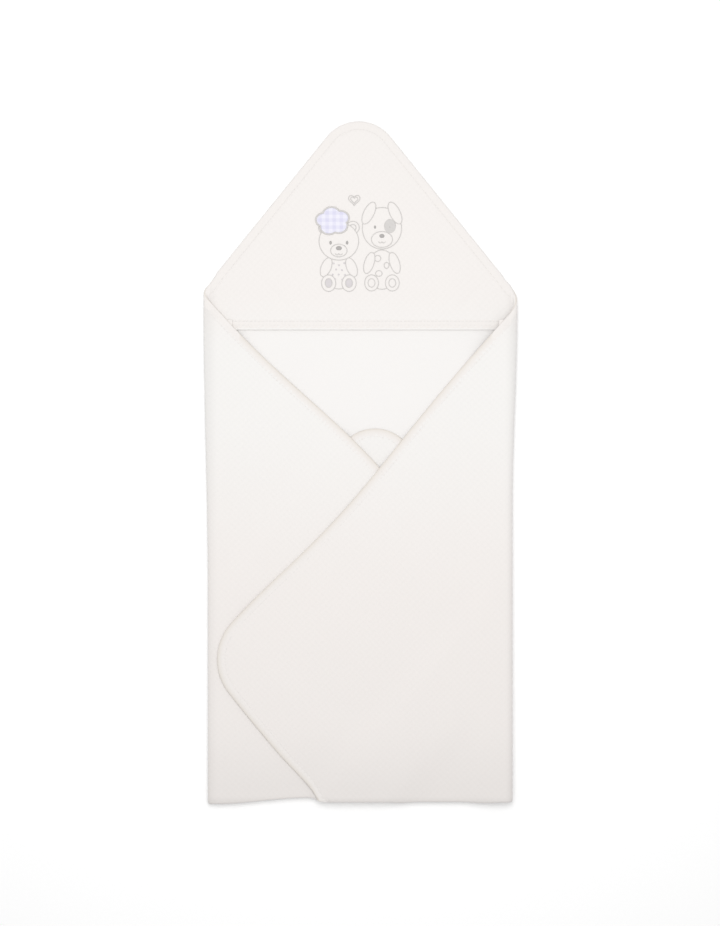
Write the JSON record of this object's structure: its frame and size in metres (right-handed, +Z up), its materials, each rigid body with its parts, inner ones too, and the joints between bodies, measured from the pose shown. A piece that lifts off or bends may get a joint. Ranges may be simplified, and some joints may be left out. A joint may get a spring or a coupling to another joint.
{
  "type": "hooded baby towel",
  "caption": "White hooded baby towel folded flat: bottom corner turned up, side flaps crossed over it, and a sewn-on corner hood with a gingham cloud patch and outline embroidery.",
  "frame": {"origin": "under the middle of the folded towel, on the surface that it lies on", "axes": "+Y along the towel to the hood corner, +Z up out of the surface, +X to the side whose flap lies on top"},
  "size_m": [0.315, 0.7126, 0.0117],
  "materials": {
    "quilted_towelling": "soft white towelling, embossed with small diamonds outside, plain short pile inside",
    "binding_cloth": "plain white knitted binding with one row of stitches",
    "gingham_cloth": "pale lavender and white checked cotton",
    "embroidery_thread": "pale warm grey embroidery thread with a slight sheen"
  },
  "bodies": {
    "back": {"back_panel": "quilted_towelling", "hood_seam_binding": "binding_cloth", "bottom_flap_panel": "quilted_towelling", "bottom_flap_binding": "binding_cloth", "bottom_crease": "quilted_towelling", "left_side_crease": "quilted_towelling", "left_tuck_crease": "quilted_towelling", "right_side_crease": "quilted_towelling", "right_tuck_crease": "quilted_towelling"},
    "hood": {"hood_panel": "quilted_towelling", "hood_mouth_band": "binding_cloth", "cloud_patch": "gingham_cloth", "bear_embroidery": "embroidery_thread", "puppy_embroidery": "embroidery_thread", "heart_embroidery": "embroidery_thread"},
    "left_flap": {"left_flap_panel": "quilted_towelling", "left_flap_binding": "binding_cloth", "left_tuck_panel": "quilted_towelling", "left_tuck_binding": "binding_cloth", "left_hood_corner": "quilted_towelling", "left_flap_bottom_crease": "quilted_towelling"},
    "right_flap": {"right_flap_panel": "quilted_towelling", "right_flap_binding": "binding_cloth", "right_tuck_panel": "quilted_towelling", "right_tuck_binding": "binding_cloth", "right_hood_corner": "quilted_towelling", "right_flap_bottom_crease": "quilted_towelling"}
  },
  "joints": [
    {"name": "right_flap_fold", "type": "hinge", "parent": "back", "child": "right_flap", "pos_m": [0.15661, 0, 0.00585], "axis": [0, 1, 0], "range_deg": [0, 179.9], "deforming": ["right_side_crease", "right_tuck_crease"]},
    {"name": "left_flap_fold", "type": "hinge", "parent": "back", "child": "left_flap", "pos_m": [-0.15661, 0, 0.00385], "axis": [0, -1, 0], "range_deg": [0, 179.9], "deforming": ["left_side_crease", "left_tuck_crease", "left_flap_panel", "left_flap_binding", "left_tuck_panel", "left_tuck_binding", "left_hood_corner", "left_flap_bottom_crease"]},
    {"name": "hood_opening", "type": "hinge", "parent": "back", "child": "hood", "pos_m": [0, 0.34634, 0.00285], "axis": [-1, 0, 0], "range_deg": [0, 15]}
  ]
}
